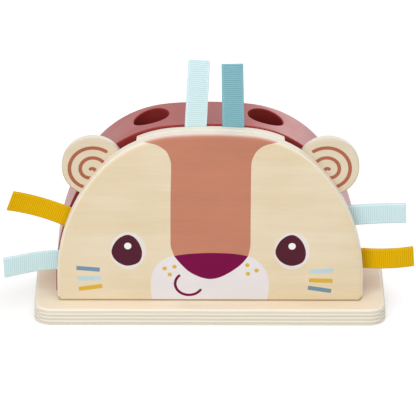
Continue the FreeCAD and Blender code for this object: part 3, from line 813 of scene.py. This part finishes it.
def rib_tree():
    """Geometry nodes that raise a ribbon's ribs between its selvedges and give it its cloth."""
    tree = bpy.data.node_groups.new("raise_ribs", "GeometryNodeTree")
    tree.interface.new_socket("Geometry", in_out="INPUT", socket_type="NodeSocketGeometry")
    for label, size in (("Rib Pitch", RIB_PITCH * MM), ("Rib Height", RIB_HEIGHT * MM),
                        ("Half Width", RIBBON_WIDTH / 2 * MM), ("Selvedge", SELVEDGE * MM)):
        socket = tree.interface.new_socket(label, in_out="INPUT", socket_type="NodeSocketFloat")
        socket.default_value = size
    tree.interface.new_socket("Cloth", in_out="INPUT", socket_type="NodeSocketMaterial")
    tree.interface.new_socket("Geometry", in_out="OUTPUT", socket_type="NodeSocketGeometry")
    start = tree.nodes.new("NodeGroupInput")
    end = tree.nodes.new("NodeGroupOutput")
    along = add(tree, "GeometryNodeInputNamedAttribute", {"Name": "along"}, data_type="FLOAT").outputs[0]
    across = add(tree, "GeometryNodeInputNamedAttribute", {"Name": "across"}, data_type="FLOAT").outputs[0]
    turn = calc(tree, "MULTIPLY", calc(tree, "DIVIDE", along, start.outputs["Rib Pitch"]), math.pi)
    rib = calc(tree, "ABSOLUTE", calc(tree, "SINE", turn))
    inner = calc(tree, "SUBTRACT", start.outputs["Half Width"], start.outputs["Selvedge"])
    ribbed = calc(tree, "LESS_THAN", calc(tree, "ABSOLUTE", across), inner)
    wave = calc(tree, "MULTIPLY", calc(tree, "SUBTRACT", rib, RIB_MIDDLE), start.outputs["Rib Height"])
    lift = calc(tree, "MULTIPLY", wave, ribbed)
    normal = tree.nodes.new("GeometryNodeInputNormal").outputs[0]
    move = add(tree, "ShaderNodeVectorMath", {0: normal, "Scale": lift}, operation="SCALE").outputs[0]
    raised = add(tree, "GeometryNodeSetPosition", {"Geometry": start.outputs["Geometry"],
                                                   "Offset": move})
    real = add(tree, "GeometryNodeRealizeInstances", {0: raised.outputs[0]})
    dressed = add(tree, "GeometryNodeSetMaterial", {"Geometry": real.outputs[0],
                                                    "Material": start.outputs["Cloth"]})
    tree.links.new(dressed.outputs[0], end.inputs[0])
    return tree


def ribbon_loop(name, cloth, ribs, side, place, heading, reach, start_slope, tip_slope, tip_back, outline):
    """A folded ribbon: a thin band that runs out of its pocket, turns at the tip and runs back."""
    turn = math.radians(heading)
    along = Vector((math.cos(turn), 0, math.sin(turn)))
    wide = Vector((-math.sin(turn), 0, math.cos(turn)))
    root = outline_place(side, place, outline)
    start = Vector((root.x, BLOCK_FRONT - RIBBON_CLEAR - RIBBON_THICK / 2, BASE_THICK + root.y))
    line = even_steps(loop_path(reach, start_slope, tip_slope, tip_back), RIB_PITCH / SAMPLES_PER_RIB)
    whole = line[-1][1]
    columns = [RIBBON_WIDTH * (i / STRIP_COLUMNS - 0.5) for i in range(STRIP_COLUMNS + 1)]
    columns[1] = columns[0] + SELVEDGE * SELVEDGE_FLAT
    columns[-2] = columns[-1] - SELVEDGE * SELVEDGE_FLAT
    columns.insert(2, columns[1] + RIB_END_STEP)
    columns.insert(-2, columns[-2] - RIB_END_STEP)
    verts, longs, sides, faces = [], [], [], []
    width = len(columns)
    for face_side in (-1, 1):
        for i, (at, far) in enumerate(line):
            after, before = line[min(i + 1, len(line) - 1)][0], line[max(i - 1, 0)][0]
            way = (after - before).normalized()
            out = Vector((way.y, -way.x))
            flat = at + out * face_side * CLOTH_THICK / 2
            skew = LOOP_SKEW * (far / whole - 0.5) * 2
            for across in columns:
                aside = wide * (across + skew)
                verts.append((start + along * flat.x + Vector((0, flat.y, 0)) + aside) * MM)
                longs.append(far * MM)
                sides.append(across * MM)
    rows = len(line)
    for layer in (0, 1):
        for i in range(rows - 1):
            for j in range(width - 1):
                a = (layer * rows + i) * width + j
                quad = [a, a + 1, a + width + 1, a + width]
                faces.append(quad if layer == 0 else quad[::-1])
    other = rows * width
    for i in range(rows - 1):
        for j, flip in ((0, True), (width - 1, False)):
            a = i * width + j
            quad = [a, a + width, a + width + other, a + other]
            faces.append(quad[::-1] if flip else quad)
    for j in range(width - 1):
        for i, flip in ((0, False), (rows - 1, True)):
            a = i * width + j
            quad = [a, a + 1, a + 1 + other, a + other]
            faces.append(quad[::-1] if flip else quad)
    mesh = bpy.data.meshes.new(name + "_band")
    mesh.from_pydata([tuple(v) for v in verts], [], faces)
    for label, values in (("along", longs), ("across", sides)):
        mesh.attributes.new(label, "FLOAT", "POINT").data.foreach_set("value", values)
    uv_map = mesh.uv_layers.new(name="UVMap")
    for loop in mesh.loops:
        uv_map.data[loop.index].uv = (sides[loop.vertex_index], longs[loop.vertex_index])
    band = bpy.data.objects.new(name + "_band", mesh)
    bpy.context.scene.collection.objects.link(band)
    outwards_everywhere(mesh)
    modifier = band.modifiers.new("ribs", "NODES")
    modifier.node_group = ribs
    sockets = {item.name: item.identifier for item in ribs.interface.items_tree
               if item.in_out == "INPUT"}
    modifier[sockets["Cloth"]] = cloth
    made = bpy.data.meshes.new_from_object(band.evaluated_get(bpy.context.evaluated_depsgraph_get()))
    band.modifiers.remove(modifier)
    band.data = made
    for polygon in made.polygons:
        polygon.use_smooth = True
    return band, whole


def outwards_everywhere(mesh):
    """Turns all the faces of a closed mesh outwards."""
    shape = bmesh.new()
    shape.from_mesh(mesh)
    bmesh.ops.recalc_face_normals(shape, faces=shape.faces)
    shape.to_mesh(mesh)
    shape.free()


# --- finishes of this toy -----------------------------------------------------------------------
FACE_PALE, FACE_DEEP = paint(232, 218, 191), paint(219, 197, 157)
EDGE_PALE, EDGE_DEEP = paint(247, 239, 226), paint(240, 230, 214)
EDGE_SAWN, EDGE_DARK = paint(244, 236, 222), paint(217, 204, 185)
# the face's rounded edge: paler sanded wood and a painted highlight
SANDED_RIM_AND_HIGHLIGHT = paint(241, 231, 210)
# a darker colour for the down-facing edge along the foot of the face and ears: painted contact shade
FOOT_PAINTED_SHADE = paint(186, 158, 112)

face_low, face_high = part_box("face_panel")
FACE_FRONT, FACE_BACK = face_low.y / MM, face_high.y / MM
ear_low, ear_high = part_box("ear_right")
EAR_FRONT, EAR_BACK = ear_low.y / MM, ear_high.y / MM
EAR_ACROSS = (ear_low.x + ear_high.x) / 2 / MM
EAR_RISE = (ear_low.z + ear_high.z) / 2 / MM - BASE_THICK

# each ink's colour, its colour where it is worn, and how much of the grain shows through
INKS = {
    "brown": (paint(201, 134, 109), paint(240, 214, 204), 0.16),
    "white": (paint(232, 227, 228), paint(236, 228, 220), 0.05),
    "eye_white": (paint(233, 226, 220), paint(236, 228, 220), 0.08),
    "plum": (paint(123, 14, 70), paint(160, 90, 120), 0.16),
    "dark_plum": (paint(84, 35, 50), paint(120, 80, 90), 0.16),
    "highlight": (paint(244, 243, 240), paint(240, 238, 234), 0.05),
    "slate": (paint(118, 150, 173), paint(190, 205, 215), 0.1),
    "pale_blue": (paint(190, 218, 226), paint(215, 228, 232), 0.1),
    "mustard": (paint(222, 180, 62), paint(232, 210, 150), 0.1),
}

bare_face = veneer("bare_birch_face", FACE_PALE, FACE_DEEP, FACE_FRONT, SANDED_RIM_AND_HIGHLIGHT, 1.2)
# the ear's rim colour is a little darker than its front
bare_ear = veneer("bare_birch_ear", paint(224, 211, 187), paint(213, 196, 166), EAR_FRONT,
                  paint(214, 200, 177), 0.5)
face_edge = sawn_plywood("face_board_edge", 1, FACE_FRONT * MM, (FACE_BACK - FACE_FRONT) * MM,
                         FACE_PLIES, EDGE_PALE, EDGE_DEEP, EDGE_SAWN, EDGE_DARK, 0.35)
layer_wood = sawn_plywood("layer_board", 1, EAR_FRONT * MM, (EAR_BACK - EAR_FRONT) * MM,
                          LAYER_PLIES, EDGE_PALE, EDGE_DEEP, EDGE_SAWN, EDGE_DARK, 0.35)
base_wood = sawn_plywood("base_board_wood", 2, 0.0, BASE_THICK * MM, BASE_PLIES,
                         paint(246, 234, 212), paint(236, 217, 188), paint(241, 234, 218),
                         paint(208, 199, 180), 1.0)
ink_finish = {name: ink_on_birch("ink_" + name, *look, FACE_FRONT) for name, look in INKS.items()}
spiral_ink = ink_on_birch("ink_spiral", paint(178, 106, 80), paint(220, 190, 170), 0.16, EAR_FRONT)

lacquer = red_lacquer()
turned_beech = beech()
plated = zinc()
# each cloth: its colour, the painted shade of the valleys between its ribs, and its selvedge
CLOTHS = {
    "pale_blue_ribbon": ribbon_cloth("pale_blue_grosgrain", paint(215, 238, 241),
                                     paint(186, 216, 220), paint(222, 242, 245)),
    "teal_ribbon": ribbon_cloth("teal_grosgrain", paint(142, 192, 203),
                                paint(96, 148, 160), paint(134, 186, 198)),
    "mustard_ribbon": ribbon_cloth("mustard_grosgrain", paint(232, 184, 2),
                                   paint(204, 156, 1), paint(228, 180, 2)),
}

# --- the toy's pieces ---------------------------------------------------------------------------
outline = face_outline()
inks = face_inks()
face = printed_board("printed_face", outline, inks, FACE_FRONT, FACE_BACK, FACE_ROUND,
                     [bare_face] + [ink_finish[name] for name, _ in inks] + [face_edge])
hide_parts("face_panel")
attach(face, "toy_body")

for name, side in (("left", -1), ("right", 1)):
    disc = disc_outline((side * EAR_ACROSS, EAR_RISE), EAR_R)
    drawn = [("spiral", [spiral(side, SPIRAL_CENTRES[name])])]
    ear = printed_board("printed_ear_" + name, disc, drawn, EAR_FRONT, EAR_BACK, EAR_ROUND,
                        [bare_ear, spiral_ink, layer_wood])
    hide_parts("ear_" + name)
    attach(ear, "toy_body")

ribs = rib_tree()
for name, (slot, side, *sizes) in RIBBONS.items():
    band, length = ribbon_loop(name, CLOTHS[slot], ribs, side, *sizes, outline)
    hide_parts(name)
    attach(band, "toy_body")

CAD_FINISHES = {
    "base_board": base_wood, "arch_block": lacquer,
    "crest_strip": layer_wood, "spacer_panel": layer_wood,
    "panel_dowels": turned_beech, "crest_dowels": turned_beech, "ear_dowels": turned_beech,
    "plunger_left": turned_beech, "plunger_right": turned_beech,
    "spring_left": plated, "spring_right": plated, "base_screws": plated,
}
for name, finish in CAD_FINISHES.items():
    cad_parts[name].data.materials.clear()
    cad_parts[name].data.materials.append(finish)

for side in ("left", "right"):
    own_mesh(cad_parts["spring_" + side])


# --- floor, light and camera ----------------------------------------------------------------------
FLOOR_HALF = 6.0
FLOOR_GLOW = 0.42
# the floor glows less in an oval round the toy: a painted shadow beside the base
FLOOR_GLOW_PAINTED_SHADOW = 0.28
SHADE_SHIFT = (0.25, 0.4, 0)
SHADE_SCALE = (5, 17, 1)
SKY_LIGHT = 0.55
SHOWN_SKY = 1.0


def seen_rays(tree):
    """1 for rays that show the floor or the sky: the camera's, and reflected or refracted ones."""
    rays = tree.nodes.new("ShaderNodeLightPath")
    shown = calc(tree, "MAXIMUM", rays.outputs["Is Camera Ray"], rays.outputs["Is Glossy Ray"])
    return calc(tree, "MAXIMUM", shown, rays.outputs["Is Transmission Ray"])


def studio_floor():
    mesh = bpy.data.meshes.new("studio_floor")
    far = FLOOR_HALF
    mesh.from_pydata([(-far, -far, 0), (far, -far, 0), (far, far, 0), (-far, far, 0)], [], [(0, 1, 2, 3)])
    floor = bpy.data.objects.new("studio_floor", mesh)
    bpy.context.scene.collection.objects.link(floor)
    material = bpy.data.materials.new("studio_white")
    material.use_nodes = True
    tree = material.node_tree
    tree.nodes.clear()
    diffuse = add(tree, "ShaderNodeBsdfDiffuse", {"Color": paint(232, 232, 232)})
    here = tree.nodes.new("ShaderNodeTexCoord").outputs["Object"]
    # the glow drops in an oval round the toy: a painted shadow on the floor beside the base
    place = add(tree, "ShaderNodeMapping", {"Vector": here, "Location": SHADE_SHIFT,
                                            "Scale": SHADE_SCALE}).outputs[0]
    far_off = add(tree, "ShaderNodeVectorMath", {0: place}, operation="LENGTH").outputs["Value"]
    strength = between(tree, far_off, 0.7, 1.4, FLOOR_GLOW_PAINTED_SHADOW, FLOOR_GLOW)
    shown = calc(tree, "MULTIPLY", seen_rays(tree), strength)
    glow = add(tree, "ShaderNodeEmission", {"Color": (1, 1, 1, 1), "Strength": shown})
    both = add(tree, "ShaderNodeAddShader", {0: diffuse.outputs[0], 1: glow.outputs[0]})
    out = tree.nodes.new("ShaderNodeOutputMaterial")
    tree.links.new(both.outputs[0], out.inputs[0])
    mesh.materials.append(material)


def studio_sky():
    world = bpy.data.worlds.new("studio_sky")
    bpy.context.scene.world = world
    world.use_nodes = True
    tree = world.node_tree
    background = tree.nodes["Background"]
    background.inputs["Color"].default_value = (1, 1, 1, 1)
    strength = between(tree, seen_rays(tree), 0, 1, SKY_LIGHT, SHOWN_SKY)
    tree.links.new(strength, background.inputs["Strength"])


def soft_box(name, place, aim, width, height, watts):
    lamp = bpy.data.lights.new(name, "AREA")
    lamp.shape = "RECTANGLE"
    lamp.size = width
    lamp.size_y = height
    lamp.energy = watts
    box = bpy.data.objects.new(name, lamp)
    box.location = place
    box.rotation_euler = (Vector(aim) - Vector(place)).to_track_quat("-Z", "Y").to_euler()
    bpy.context.scene.collection.objects.link(box)


def camera():
    aim = Vector((-0.00165, -0.02764, 0.08221))
    away, lift, aside, roll = 2.715, math.radians(24.75), math.radians(-0.3), math.radians(0.25)
    lens = bpy.data.cameras.new("camera")
    lens.lens = 345
    lens.sensor_width = 36
    eye = bpy.data.objects.new("camera", lens)
    way = Vector((math.sin(aside) * math.cos(lift), -math.cos(aside) * math.cos(lift), math.sin(lift)))
    eye.location = aim + way * away
    eye.rotation_euler = (way.to_track_quat("Z", "Y") @ Quaternion((0, 0, 1), roll)).to_euler()
    bpy.context.scene.collection.objects.link(eye)
    bpy.context.scene.camera = eye


studio_floor()
studio_sky()
soft_box("overhead_box", (0.15, -0.55, 1.45), (0, 0, 0.05), 1.3, 1.1, 7.0)
soft_box("front_box", (-0.7, -1.7, 1.0), (0, 0, 0.06), 1.2, 1.2, 14.0)
soft_box("back_box", (0.9, 2.0, 0.8), (0, 0, 0.1), 1.1, 1.1, 3.5)
camera()
bpy.context.scene.view_settings.view_transform = "Standard"
